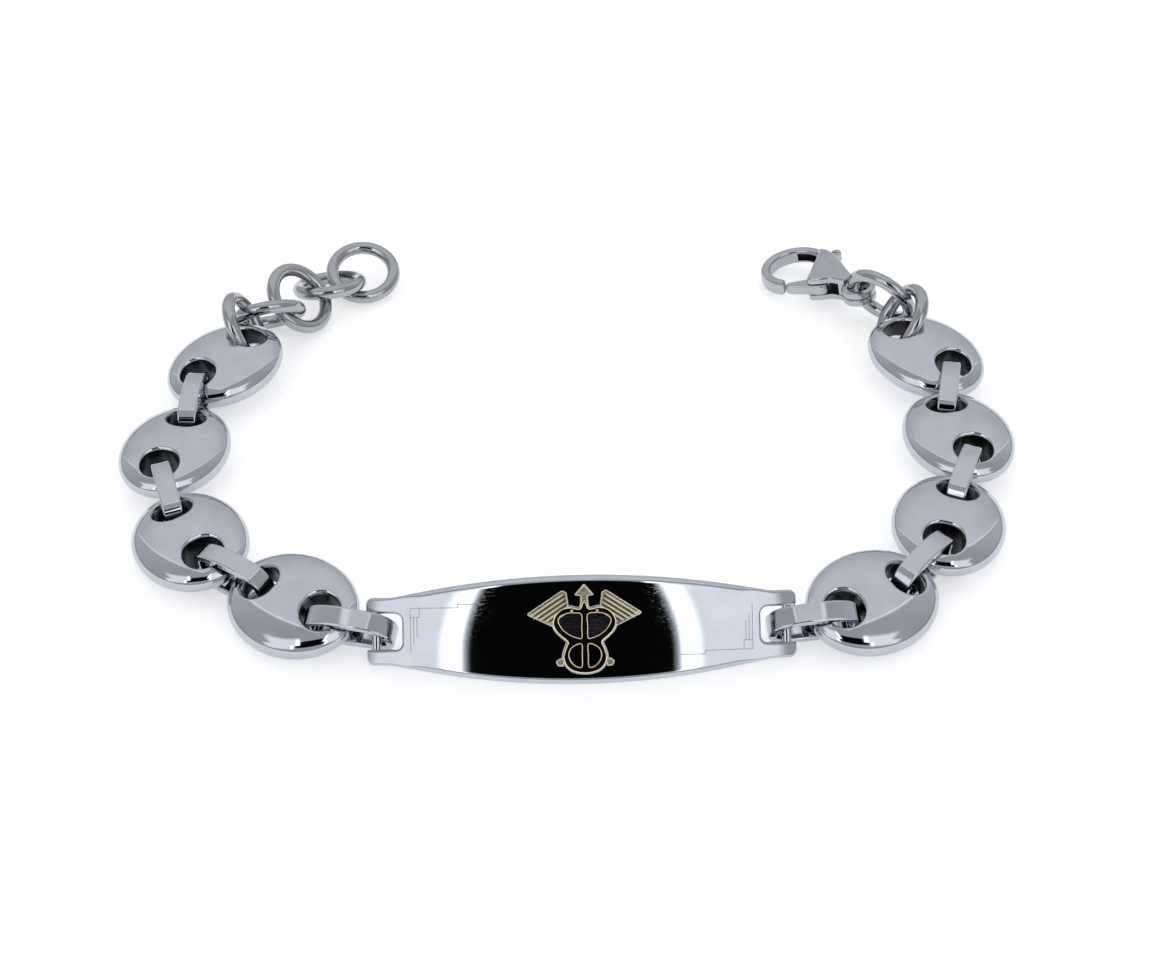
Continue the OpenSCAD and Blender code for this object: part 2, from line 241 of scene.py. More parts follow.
def metal(name, colour, roughness, spread, scratch, grain):
    """A metal with hairline scratches, a fine grain, and roughness and tone that vary a little."""
    material, nodes = new_material(name)
    place = nodes.add("ShaderNodeTexCoord").outputs["Object"]
    cloud = nodes.add("ShaderNodeTexNoise", Vector=place, Scale=TONE_SCALE, Detail=3.0)
    fine = nodes.add("ShaderNodeTexNoise", Vector=place, Scale=GRAIN_SCALE, Detail=4.0, Roughness=0.7)
    stretch = nodes.add("ShaderNodeMapping", Vector=place, Rotation=HAIR_TURN, Scale=HAIR_STRETCH)
    hairs = nodes.add("ShaderNodeTexNoise", Vector=stretch.outputs[0], Scale=HAIR_SCALE, Detail=3.0)
    lines = nodes.fade(hairs.outputs["Fac"], HAIR_RANGE)
    mixed = nodes.math("MULTIPLY_ADD", lines, HAIR_ROUGHNESS, cloud.outputs["Fac"])
    rough = nodes.mapped(mixed, *ROUGH_RANGE, roughness - spread / 2, roughness + spread)
    ramp = nodes.add("ShaderNodeValToRGB", Fac=cloud.outputs["Fac"])
    ramp.color_ramp.elements[0].position = TONE_RANGE[0]
    ramp.color_ramp.elements[0].color = [c * (1 - TONE_CHANGE) for c in colour] + [1]
    ramp.color_ramp.elements[1].position = TONE_RANGE[1]
    ramp.color_ramp.elements[1].color = [c * (1 + TONE_CHANGE / 2) for c in colour] + [1]
    scratches = nodes.math("MULTIPLY", lines, -scratch)
    height = nodes.math("MULTIPLY_ADD", fine.outputs["Fac"], grain, scratches)
    bump = nodes.add("ShaderNodeBump", Height=height, Distance=BUMP_DEPTH)
    shader = nodes.add("ShaderNodeBsdfPrincipled", Base_Color=ramp.outputs[0], Roughness=rough, Metallic=1.0)
    nodes.feed(shader, "Normal", bump.outputs[0])
    nodes.add("ShaderNodeOutputMaterial", Surface=shader.outputs[0])
    return material


# Surfaces: each is (points in millimetres, normals, faces), and a fourth member, where there is one,
# is the number of its material in the piece's list. A piece joins several surfaces.


def piece(name, surfaces, materials, body, node):
    """A new object made of surfaces, which rides on a body and stands for a CAD node."""
    points, normals, faces, kinds = [], [], [], []
    for surface in surfaces:
        start = len(points)
        points.extend(surface[0])
        normals.extend(surface[1])
        faces.extend([tuple(i + start for i in face) for face in surface[2]])
        kinds.extend([surface[3] if len(surface) > 3 else 0] * len(surface[2]))
    faces = facing(np.array([tuple(p) for p in points]), np.array([tuple(n) for n in normals]), faces)
    mesh = bpy.data.meshes.new(name)
    mesh.from_pydata([Vector(p) * MM for p in points], [], faces)
    for m in materials:
        mesh.materials.append(m)
    mesh.polygons.foreach_set("material_index", kinds)
    mesh.polygons.foreach_set("use_smooth", [True] * len(mesh.polygons))
    mesh.normals_split_custom_set_from_vertices([Vector(n).normalized() for n in normals])
    made = bpy.data.objects.new(name, mesh)
    bpy.context.scene.collection.objects.link(made)
    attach(made, body)
    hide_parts(node)


def facing(points, normals, faces):
    """The faces, each turned to the side that its points' normals are on."""
    made = []
    for face in faces:
        a, b, c = points[face[0]], points[face[len(face) // 3]], points[face[2 * len(face) // 3]]
        side = np.dot(np.cross(b - a, c - a), normals[list(face)].mean(0))
        made.append(face if side >= 0 else face[::-1])
    return made


def moved(surface, turn, place):
    """The surface after a turn and a shift."""
    matrix = np.array(turn)
    points = np.asarray(surface[0], float) @ matrix.T + np.array(place)
    normals = np.asarray(surface[1], float) @ matrix.T
    return (points, normals, *surface[2:])


def grid_faces(rows, columns, closed_rows=False, closed_columns=False):
    """The quads of a grid of points, row after row."""
    faces = []
    for i in range(rows if closed_rows else rows - 1):
        for j in range(columns if closed_columns else columns - 1):
            a, b = i * columns, (i + 1) % rows * columns
            k = (j + 1) % columns
            faces.append((a + j, b + j, b + k, a + k))
    return faces


def swept(stations, section, closed=True, whole_section=True):
    """A section carried along stations. A station is (place, side, up, scale), and a section
    point is (across, along up, normal across, normal up). Closed joins the last station to the
    first, and a whole section's last point joins its first."""
    points, normals = [], []
    for place, side, up, scale in stations:
        place, side, up = (np.array(v, float) for v in (place, side, up))
        for s, w, ns, nw in section:
            points.append(place + (s * side + w * up) * scale)
            normals.append(ns * side + nw * up)
    faces = grid_faces(len(stations), len(section), closed, whole_section)
    if whole_section and not closed:
        n = len(section)
        last = (len(stations) - 1) * n
        faces.append(tuple(range(n)))
        faces.append(tuple(last + i for i in range(n - 1, -1, -1)))
    return points, normals, faces


def around(count):
    """Cosine and sine of evenly spread angles of a whole turn."""
    turns = [2 * math.pi * i / count for i in range(count)]
    return [(math.cos(t), math.sin(t)) for t in turns]


def station(radius, degrees, scale=1.0):
    """A station on a circle about the origin, with up along Z."""
    t = math.radians(degrees)
    c, s = math.cos(t), math.sin(t)
    return (radius * c, radius * s, 0), (c, s, 0), (0, 0, 1), scale


def arc(x, y, r, start, end, steps, *edge, way=1):
    """Points of an arc about x, y with their normals, which point inwards where way is -1, and with
    the width of the rounded edge where one is given."""
    made = []
    for i in range(steps + 1):
        t = math.radians(start + (end - start) * i / steps)
        c, s = math.cos(t), math.sin(t)
        made.append((x + r * c, y + r * s, way * c, way * s, *edge))
    return made


def round_section(half_a, half_b, r):
    """A rectangle with rounded corners as section points."""
    made = []
    for quarter, (x, y) in enumerate([(1, 1), (-1, 1), (-1, -1), (1, -1)]):
        made += arc(x * (half_a - r), y * (half_b - r), r, 90 * quarter, 90 * (quarter + 1), 5)
    return made


# Outlines: closed loops of (x, y, normal x, normal y, width of the rounded edge)


def rounded(corners, edge, steps=5):
    """A loop of arcs at the corners of a polygon given as (x, y, radius), anticlockwise."""
    made = []
    count = len(corners)
    for i, (x, y, r) in enumerate(corners):
        before = Vector((x - corners[i - 1][0], y - corners[i - 1][1])).normalized()
        after = corners[(i + 1) % count]
        after = Vector((after[0] - x, after[1] - y)).normalized()
        bend = before.angle_signed(after)
        side = 1 if bend < 0 else -1
        reach = r * math.tan(abs(bend) / 2)
        n0 = Vector((before.y, -before.x))
        middle = Vector((x, y)) - before * reach - n0 * r * side
        for k in range(steps + 1):
            a = -bend * k / steps
            n = Vector((n0.x * math.cos(a) - n0.y * math.sin(a), n0.x * math.sin(a) + n0.y * math.cos(a)))
            p = middle + n * r * side
            made.append((p.x, p.y, n.x, n.y, edge))
    return made


def flowing(points, edge, steps=6, inward=False):
    """A smooth closed loop through points, anticlockwise. The normals point out, or in for a hole."""
    count = len(points)
    line = []
    for i in range(count):
        p0, p1, p2, p3 = (np.array(points[(i + k) % count], float) for k in (-1, 0, 1, 2))
        for k in range(steps):
            t = k / steps
            line.append(0.5 * (2 * p1 + (p2 - p0) * t + (2 * p0 - 5 * p1 + 4 * p2 - p3) * t * t
                               + (3 * p1 - p0 - 3 * p2 + p3) * t ** 3))
    made = []
    for i, p in enumerate(line):
        along = line[(i + 1) % len(line)] - line[i - 1]
        along = along / np.linalg.norm(along)
        side = -1 if inward else 1
        made.append((p[0], p[1], side * along[1], -side * along[0], edge))
    return made


def inside(loop, points):
    """Which of the points lie in the loop."""
    px, py = points[:, 0], points[:, 1]
    found = np.zeros(len(points), bool)
    for i in range(len(loop)):
        (ax, ay), (bx, by) = loop[i - 1], loop[i]
        if ay != by:
            crosses = ((ay > py) != (by > py)) & (px < (bx - ax) * (py - ay) / (by - ay) + ax)
            found ^= crosses
    return found


def clear_of(loop, points, gap):
    """Which of the points lie farther than the gap from the loop."""
    a = np.array(loop)
    b = np.roll(a, -1, axis=0)
    along = b - a
    length = np.maximum((along ** 2).sum(1), 1e-12)
    share = np.einsum("pij,ij->pi", points[:, None] - a[None], along) / length
    nearest = a[None] + np.clip(share, 0, 1)[..., None] * along[None]
    return np.sqrt(((points[:, None] - nearest) ** 2).sum(2)).min(1) > gap


def triangulated(loops, extra, gap):
    """Points and triangles of the area that an odd number of the loops holds. The loops' points
    come first, in their own order."""
    loops = [[tuple(p[:2]) for p in loop] for loop in loops]
    extra = np.array(extra, float).reshape(-1, 2)
    if len(extra):
        keep = np.zeros(len(extra), bool)
        for loop in loops:
            keep ^= inside(loop, extra)
        extra = extra[keep]
        for loop in loops:
            extra = extra[clear_of(loop, extra, gap)]
    points, edges = [], []
    for loop in loops:
        start = len(points)
        points.extend(Vector(p) for p in loop)
        edges.extend((start + i, start + (i + 1) % len(loop)) for i in range(len(loop)))
    points.extend(Vector(p) for p in extra)
    found, _, faces, origins, _, _ = delaunay_2d_cdt(points, edges, [], 0, 1e-7)
    found = np.array([tuple(p) for p in found])
    middles = np.array([found[list(f)].mean(0) for f in faces])
    keep = np.zeros(len(faces), bool)
    for loop in loops:
        keep ^= inside(loop, middles)
    order = [sources[-1] if sources else len(points) + i for i, sources in enumerate(origins)]
    coords = {k: tuple(p) for k, p in zip(order, found)}
    keys = sorted(coords)
    index = {k: n for n, k in enumerate(keys)}
    triangles = [tuple(index[order[v]] for v in f) for f, good in zip(faces, keep) if good]
    return [coords[k] for k in keys], triangles


def plaque(loops, low, high, grid=0.0, foot=0.0, steps=4):
    """A flat body between two heights, with its upper edges rounded by each loop's own width
    and its lower edges by foot. Grid is the pitch of points within its faces."""
    quarter = [(math.cos(t), math.sin(t)) for t in np.radians(np.linspace(0, 90, steps + 1))]
    profile = [(1 - s, c, s, 1) for c, s in quarter] + [(1 - c, -s, c, -1) for c, s in quarter]
    surfaces = []
    for loop in loops:
        points, normals = [], []
        for share, nz, nr, which in profile:
            for x, y, nx, ny, edge in loop:
                width = edge if which > 0 else min(edge, foot)
                z = high - width * (1 - nz) if which > 0 else low + width * (1 + nz)
                points.append((x - nx * width * share, y - ny * width * share, z))
                normals.append((nx * nr, ny * nr, nz))
        surfaces.append((points, normals, grid_faces(len(profile), len(loop), False, True)))
    for which, z in ((1, high), (-1, low)):
        inner = []
        for loop in loops:
            widths = [e if which > 0 else min(e, foot) for _, _, _, _, e in loop]
            inner.append([(x - nx * w, y - ny * w) for (x, y, nx, ny, _), w in zip(loop, widths)])
        extra = []
        if grid:
            xs = [p[0] for loop in inner for p in loop]
            ys = [p[1] for loop in inner for p in loop]
            columns = np.arange(min(xs) + grid / 2, max(xs), grid)
            rows = np.arange(min(ys) + grid / 2, max(ys), grid)
            extra = [(x, y) for x in columns for y in rows]
        flat, triangles = triangulated(inner, extra, grid / 3)
        surfaces.append(([(x, y, z) for x, y in flat], [(0, 0, which)] * len(flat), triangles))
    return surfaces


def on_arch(surface, drop=True):
    """A surface given in the plate's flat frame, bent on its arch, sloped at the forks and put in place."""
    points, normals = [], []
    ramp = NOTCH_D + CORNER_R
    lean = turned((PLATE_LEAN, "X"))
    for (x, y, z), (nx, ny, nz) in zip(surface[0], surface[1]):
        if drop and abs(x) > HALF_L - ramp and z > -PLATE_T:
            share = (abs(x) - HALF_L + ramp) / ramp
            z -= FORK_DROP * share * share * (z + PLATE_T) / PLATE_T
            nx += math.copysign(2 * share * FORK_DROP / ramp, x) * max(nz, 0)
        t = math.asin(max(-1, min(1, x / ARCH_R)))
        c, s = math.cos(t), math.sin(t)
        bent = Vector(((ARCH_R + z) * s, y, (ARCH_R + z) * c - ARCH_R))
        points.append(lean @ bent + Vector(PLATE_AT))
        normals.append(lean @ Vector((nx * c + nz * s, ny, nz * c - nx * s)))
    return (points, normals, *surface[2:])


# ID plate


# Widths of the plate's rounded edges, and where along X its long edge ends and its edge grows narrow
WIDE_EDGE = 0.65
NARROW_EDGE = 0.28
LONG_EDGE_END = 17.2
FADE_START = 14.5
FORK_TIP_R = 0.3


def plate_loop():
    """The plate's outline, with wide rounded edges along the plate and narrow ones round the forks."""
    quarter = []
    for i in range(29):
        x = LONG_EDGE_END * i / 28
        y = math.sqrt(EDGE_R ** 2 - x * x) - EDGE_R + HALF_W
        fade = min(1, max(0, (x - FADE_START) / (LONG_EDGE_END - FADE_START)))
        edge = WIDE_EDGE + (NARROW_EDGE - WIDE_EDGE) * fade * fade * (3 - 2 * fade)
        quarter.append((x, y, x / EDGE_R, math.sqrt(1 - (x / EDGE_R) ** 2), edge))
    start = np.array(quarter[-1][:2])
    along = np.array([quarter[-1][3], -quarter[-1][2]])
    corner = start + along * (start[1] - FORK_HALF_W) / -along[1]
    end = np.array([2 * corner[0] - start[0], FORK_HALF_W])
    for i in range(1, 9):
        t = i / 8
        p = (1 - t) ** 2 * start + 2 * t * (1 - t) * corner + t * t * end
        d = 2 * (1 - t) * (corner - start) + 2 * t * (end - corner)
        d = d / np.linalg.norm(d)
        quarter.append((p[0], p[1], -d[1], d[0], NARROW_EDGE))
    tip = NOTCH_HALF_W + FORK_TIP_R
    quarter += arc(HALF_L - CORNER_R, FORK_HALF_W - CORNER_R, CORNER_R, 90, 0, 6, NARROW_EDGE)
    quarter += arc(HALF_L - FORK_TIP_R, tip, FORK_TIP_R, 0, -90, 5, NARROW_EDGE)
    notch = (HALF_L - NOTCH_D + CORNER_R, NOTCH_HALF_W - CORNER_R)
    quarter += arc(*notch, CORNER_R, 90, 180, 6, NARROW_EDGE, way=-1)
    lower = [(x, -y, nx, -ny, e) for x, y, nx, ny, e in reversed(quarter)]
    half = quarter + lower[:-1]
    other = [(-x, y, -nx, ny, e) for x, y, nx, ny, e in reversed(half[1:])]
    clockwise = half + [(0, -HALF_W, 0, -1, WIDE_EDGE)] + other
    return clockwise[::-1]


LINE_W = 0.07
# The vertical lines of the ornament: place as a share of its box, length as a share of the plate's width
ORNAMENT_LINES = ((0, 0.32), (0.35, 0.24), (0.7, 0.18))


def engraved_boxes():
    """The line ornament as boxes (low x, low y, high x, high y) of the left end and, turned, the right."""
    width, length = 2 * HALF_W, 2 * HALF_L
    box = 0.09 * width
    step_x = box + 0.09 * length
    end_x = step_x + 0.06 * length
    step_y = 1.35 * box
    inner = box - LINE_W
    boxes = [(0, 0, box, LINE_W), (0, inner, box, box), (0, 0, LINE_W, box), (inner, 0, box, box)]
    for x, drop in ORNAMENT_LINES:
        boxes.append((x * box, -drop * width, x * box + LINE_W, LINE_W))
    boxes.append((box, inner, step_x, box))
    boxes.append((step_x - LINE_W, inner, step_x, step_y))
    boxes.append((step_x - LINE_W, step_y - LINE_W, end_x, step_y))
    x0 = -(HALF_L - NOTCH_D - 0.9 * box)
    y0 = 0.13 * width
    placed = [(a + x0, b + y0, c + x0, d + y0) for a, b, c, d in boxes]
    return placed + [(-c, -d, -a, -b) for a, b, c, d in placed]


def engraved(boxes, lift=0.004):
    """Hairline strips that lie in the plate's face, in darker steel: painted shade standing for engraved
    grooves.
    """
    made = []
    for a, b, c, d in boxes:
        count = max(1, round((c - a) / 0.5))
        points, normals, faces = [], [], []
        for i in range(count + 1):
            x = a + (c - a) * i / count
            points.extend([(x, b, lift), (x, d, lift)])
            normals.extend([(0, 0, 1)] * 2)
        faces = [(2 * i, 2 * i + 2, 2 * i + 3, 2 * i + 1) for i in range(count)]
        made.append((points, normals, faces, 1))
    return made


# Puffed links


def hole_loop(side, out):
    """The outline of a link's hole, moved outwards by out."""
    x, r = side * HOLE_MID, HOLE_R + out
    return arc(x, HOLE_SHIFT, r, 0, 180, 14) + arc(x, -HOLE_SHIFT, r, 180, 360, 14)


def dome(x, y):
    """Height and normal of the lens at x, y."""
    a, b, c = LINK_HALF
    rho = math.hypot(x / a, y / b)
    share = max(0.0, 1 - rho ** LINK_POWER) ** (1 / LINK_POWER)
    k = max(rho, 1e-6) ** (LINK_POWER - 2)
    up = max(share, 1e-6) ** (LINK_POWER - 1) / c
    return c * share, Vector((k * x / a ** 2, k * y / b ** 2, up)).normalized()


def spread_out(x, y):
    """The lens laid flat: its angle from the top, in the direction of x, y."""
    a, b, _ = LINK_HALF
    rho = math.hypot(x / a, y / b)
    if rho < 1e-9:
        return 0.0, 0.0
    tilt = math.asin(min(1.0, rho))
    return tilt * x / a / rho, tilt * y / b / rho


def laid_back(p, q):
    """The place x, y of a point of the flat lens."""
    a, b, _ = LINK_HALF
    tilt = math.hypot(p, q)
    k = math.sin(tilt) / tilt if tilt > 1e-9 else 1.0
    return a * p * k, b * q * k


# Mesh of the domes: points round the rim, rows from the top to the rim, and the row from which on
# each has as many points as the rim
RIM_POINTS = 96
DOME_ROWS = 26
FULL_ROW = 18


def link_surfaces():
    """One puffed link about its middle: two domes, and the holes' rounded edges and walls."""
    rim = [(math.pi / 2 * c, math.pi / 2 * s) for c, s in around(RIM_POINTS)]
    holes = [[spread_out(x, y) for x, y, _, _ in hole_loop(side, HOLE_EDGE)] for side in (-1, 1)]
    extra = [(0.0, 0.0)]
    for k in range(1, DOME_ROWS):
        tilt = math.pi / 2 * k / DOME_ROWS
        count = max(6, round(RIM_POINTS * min(1, k / FULL_ROW)))
        for i in range(count):
            t = 2 * math.pi * (i + 0.5 * (k % 2)) / count
            extra.append((tilt * math.cos(t), tilt * math.sin(t)))
    flat, triangles = triangulated([rim, *holes], extra, 0.03)
    top, normals = [], []
    for p, q in flat:
        x, y = laid_back(p, q)
        z, n = dome(x, y)
        if math.hypot(p, q) > math.pi / 2 - 1e-6:
            z = 0.0
            n = Vector((n.x, n.y, 0)).normalized()
        top.append((x, y, z))
        normals.append(n)
    surfaces = [(top, normals, triangles)]
    surfaces.append(([(x, y, -z) for x, y, z in top], [(n[0], n[1], -n[2]) for n in normals], triangles))
    steps = 4
    for side in (-1, 1):
        edge = [dome(x, y) for x, y, _, _ in hole_loop(side, HOLE_EDGE)]
        for up in (1, -1):
            points, lip = [], []
            for k in range(steps + 1):
                t = math.radians(90 * k / steps)
                loop = hole_loop(side, HOLE_EDGE * (1 - math.sin(t)))
                for (x, y, c, s), (z, n) in zip(loop, edge):
                    points.append((x, y, up * (z - HOLE_EDGE * (1 - math.cos(t)))))
                    n = math.cos(t) * n - math.sin(t) * Vector((c, s, 0))
                    lip.append((n.x, n.y, up * n.z))
            surfaces.append((points, lip, grid_faces(steps + 1, len(edge), False, True)))
        # The holes' walls, in near-black steel: painted shade inside the holes.
        points, normals = [], []
        for up in (1, -1):
            for (x, y, c, s), (z, _) in zip(hole_loop(side, 0), edge):
                points.append((x, y, up * (z - HOLE_EDGE)))
                normals.append((-c, -s, 0))
        surfaces.append((points, normals, grid_faces(2, len(edge), False, True), 1))
    return surfaces


# Bars and rings


def oval(half_x, half_y, power, t):
    """The point at the angle t of an oval that is squarer the smaller its power, and its normal."""
    c, s = math.cos(t), math.sin(t)
    x = half_x * math.copysign(abs(c) ** power, c)
    y = half_y * math.copysign(abs(s) ** power, s)
    nx = math.copysign(abs(c) ** (2 - power), c) / half_x
    ny = math.copysign(abs(s) ** (2 - power), s) / half_y
    return Vector((x, y, 0)), Vector((nx, ny, 0)).normalized()


def bar_surface():
    """One bar link about its middle, with its loop in the XY plane: its outside is rounder than
    the hole in it, so that its long sides are thickest in their middles."""
    stations, normals = [], []
    count = 96
    section = round_section(BAR_T / 2, BAR_HALF[2], BAR_EDGE)
    for i in range(count):
        t = 2 * math.pi * (i + 0.5) / count
        outer, outward = oval(BAR_HALF[0], BAR_HALF[1], BAR_OUTER_OVAL, t)
        inner, inward = oval(BAR_HALF[0] - BAR_T, BAR_HALF[1] - BAR_T, BAR_INNER_OVAL, t)
        side = (outer - inner) / BAR_T
        stations.append((tuple((outer + inner) / 2), tuple(side), (0, 0, 1), 1))
        for _, _, ns, nw in section:
            across = outward if ns > 0 else inward
            normals.append((across.x * ns, across.y * ns, nw))
    points, _, faces = swept(stations, section)
    return points, normals, faces


# The seam of a ring: angle from its middle in degrees, and the wire's thickness there
SEAM = ((-0.9, 1.0), (-0.35, 0.95), (0.35, 0.95), (0.9, 1.0))


def ring_surface(seam):
    """One ring about its middle, with the thin seam where its wire closes."""
    pitch = 360 / RING_STATIONS
    rows = [station(RING_R, i * pitch) for i in range(RING_STATIONS)]
    nearest = round(seam / pitch)
    cut = [station(RING_R, nearest * pitch + off, scale) for off, scale in SEAM]
    rows[nearest:nearest + 1] = cut
    section = [(WIRE_R * c, WIRE_R * s, c, s) for c, s in around(WIRE_SIDES)]
    return swept(rows, section)


def centre(node):
    """The middle of a CAD node's box, in millimetres."""
    low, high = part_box(node)
    return (low + high) / 2 / MM


def build_chain(steel, dark, ring_steel):
    """The puffed links, bars and rings, each at the middle of its CAD node."""
    link = link_surfaces()
    bar = bar_surface()
    for side, rows in LINK_POSE.items():
        sign = -1 if side == "left" else 1
        for i, (heading, roll) in enumerate(rows):
            node = f"puffed_link_{side}_{i + 1}"
            turn = turned((heading, "Z"), (roll, "X"), (-END_TILT if i == 3 else 0, "Y"))
            made = [moved(s, turn, centre(node)) for s in link]
            piece(f"{node}_polished", made, [steel, dark], "chain", node)
        for i, roll in enumerate(BAR_ROLL):
            node = f"bar_link_{side}_{i + 1}"
            turn = turned((bar_heading(side, i), "Z"), (90 + sign * roll, "X"))
            made = moved(bar, turn, centre(node))
            piece(f"{node}_polished", [made], [steel], "chain", node)
    for node, (heading, lean, seam) in RING_POSE.items():
        turn = turned((heading, "Z"), (lean, "X"))
        made = moved(ring_surface(seam), turn, centre(node))
        piece(f"{node}_polished", [made], [ring_steel], "chain", node)


def bar_heading(side, i):
    """A bar runs from the plate's pin or the last link's far hole to the next link's near hole."""
    hole = Vector((HOLE_X, 0, 0))

    def hole_of(k, way):
        heading = LINK_POSE[side][k][0]
        return centre(f"puffed_link_{side}_{k + 1}") + way * (turned((heading, "Z")) @ hole)

    start = centre(f"plate_pin_{side}") if i == 0 else hole_of(i - 1, 1)
    way = hole_of(i, -1) - start
    return math.degrees(math.atan2(way.y * (FIRST_BAR_TURN if i == 0 else 1), way.x))


# Emblem, in the plate's flat frame. The right half is drawn, and the left one mirrors it.


def mirrored(loop):
    """The loop on the other side of the Y axis."""
    return [(-x, y, -nx, ny, e) for x, y, nx, ny, e in reversed(loop)]


SNAKE_EDGE = 0.14
SNAKE_HOLE_EDGE = 0.11
SNAKE_OUTLINE = [
    (0.0, 2.82), (0.2, 2.74), (0.33, 2.4), (0.5, 2.14), (0.95, 2.2), (1.4, 2.3), (2.25, 2.12),
    (2.92, 1.5), (3.15, 0.7), (2.9, 0.0), (2.35, -0.6), (1.74, -1.14), (1.84, -1.5), (2.0, -1.9),
    (2.18, -2.6), (2.0, -3.35), (1.45, -3.95), (0.75, -4.22), (0.0, -4.3),
]
UPPER_HOLE = [(0.36, 1.5), (1.0, 1.66), (1.7, 1.62), (2.35, 1.35), (2.52, 0.85), (2.1, 0.1),
              (1.4, -0.45), (0.7, -0.72), (0.36, -0.7), (0.36, 0.4)]
LOWER_HOLE = [(0.36, -1.45), (0.85, -1.5), (1.35, -1.85), (1.55, -2.4), (1.4, -3.0), (0.95, -3.5),
              (0.5, -3.65), (0.36, -3.4), (0.36, -2.4)]


def whole(half):
    """A closed anticlockwise outline from its right half, which runs down from the top middle."""
    left = [(-x, y) for x, y in half if x > 0]
    return half[::-1] + left


def snake_loops():
    """The snakes' outline, then their four holes."""
    loops = [flowing(whole(SNAKE_OUTLINE), SNAKE_EDGE)]
    for hole in (UPPER_HOLE, LOWER_HOLE):
        right = flowing(hole[::-1], SNAKE_HOLE_EDGE, 5, inward=True)
        loops.append(right)
        loops.append(mirrored(right))
    return loops


def ridge(start, end, half_width, height, low, tip=0.35):
    """A feather or a head: a rounded bar that lies from start to end and tapers to both."""
    start, end = Vector(start), Vector(end)
    along = (end - start).normalized()
    side = Vector((-along.y, along.x))
    length = (end - start).length
    stations = []
    count = 12
    for i in range(count + 1):
        t = i / count
        place = start + along * length * t
        near = min(t, 1 - t) * length
        scale = max(0.12, math.sqrt(min(1, near / tip)))
        stations.append(((place.x, place.y, low), (side.x, side.y, 0), (0, 0, 1), scale))
    section = [(half_width * c, height * s, c, s) for c, s in around(12)]
    return swept(stations, section, closed=False)


def mirrored_surface(surface):
    """The surface on the other side of the Y axis."""
    points = [(-p[0], p[1], p[2]) for p in surface[0]]
    normals = [(-n[0], n[1], n[2]) for n in surface[1]]
    return (points, normals, [f[::-1] for f in surface[2]], *surface[3:])


# Corners as (x, y, corner radius)
WING = [(1.5, 2.1, 0.1), (3.2, 0.35, 0.15), (5.8, 1.6, 0.15), (2.2, 3.95, 0.25), (1.75, 3.75, 0.2)]
TAIL = [(2.0, -2.75, 0.05), (2.15, -3.6, 0.05), (2.7, -3.55, 0.2), (2.95, -3.1, 0.2), (2.5, -2.8, 0.2)]
ARROW = [(0.0, 4.6, 0.12), (-1.04, 3.42, 0.1), (-0.36, 3.38, 0.12), (-0.46, 2.05, 0.05),
         (0.46, 2.05, 0.05), (0.36, 3.38, 0.12), (1.04, 3.42, 0.1)]
# Right half of the ground behind the upper holes: a recess floor in near-black steel, whose darkness is
# painted shade
GROUND = [(0.0, 1.9), (1.4, 2.0), (2.75, 1.4), (2.9, 0.7), (2.4, -0.2), (1.2, -1.0), (0.0, -1.1)]
# Heights of the emblem's parts above the plate
EMBLEM_BASE = 0.01
ARROW_TOP = EMBLEM_T - 0.05
GROUND_TOP = 0.16
FOOT_TOP = 0.2
WING_TOP = 0.34
WING_FIELD_TOP = 0.36
TAIL_TOP = 0.5
# The foot stands out round the snakes, in steel paler than the plate's: its paleness is a painted highlight,
# the white halo round the emblem
FOOT_OUT = 0.14
FOOT_EDGE = 0.08
# The wing's dark gold field between the feathers, as a share of the wing's size: painted shade in the
# grooves.
WING_FIELD = 0.84
# Lengths of the feathers from the top one down, where they start, and their pitch across and along
FEATHERS = [4.1, 3.8, 3.35, 2.85, 2.3]
FEATHER_START = (2.0, 3.62)
FEATHER_PITCH = (0.42, 0.1)
# Half width, height and lowest point of a feather and of a snake's head, and the head's place
FEATHER_SHAPE = (0.12, 0.26, 0.33)
HEAD_SHAPE = (0.14, 0.16, EMBLEM_T - 0.08)
HEAD_AT = (1.25, 1.92)
HEAD_HALF_L = 0.2
# Places in the emblem's list of materials
MIRROR, PALE, GROOVE, DARK, STEEL_FOOT = range(5)


def raised(loops, high, material, grid=0.5, steps=3):
    """A plaque of the emblem up to a height, in one of its materials."""
    return [(*s, material) for s in plaque(loops, EMBLEM_BASE, high, grid=grid, steps=steps)]


def feathers():
    """The feathers of the right wing, side by side along its upper edge."""
    _, _, outer, upper, _ = WING
    along = Vector((outer[0] - upper[0], outer[1] - upper[1])).normalized()
    side = Vector((along.y, -along.x))
    made = []
    for k, length in enumerate(FEATHERS):
        start = Vector(FEATHER_START) + side * FEATHER_PITCH[0] * k + along * FEATHER_PITCH[1] * k
        made.append((*ridge(start, start + along * length, *FEATHER_SHAPE), PALE))
    return made


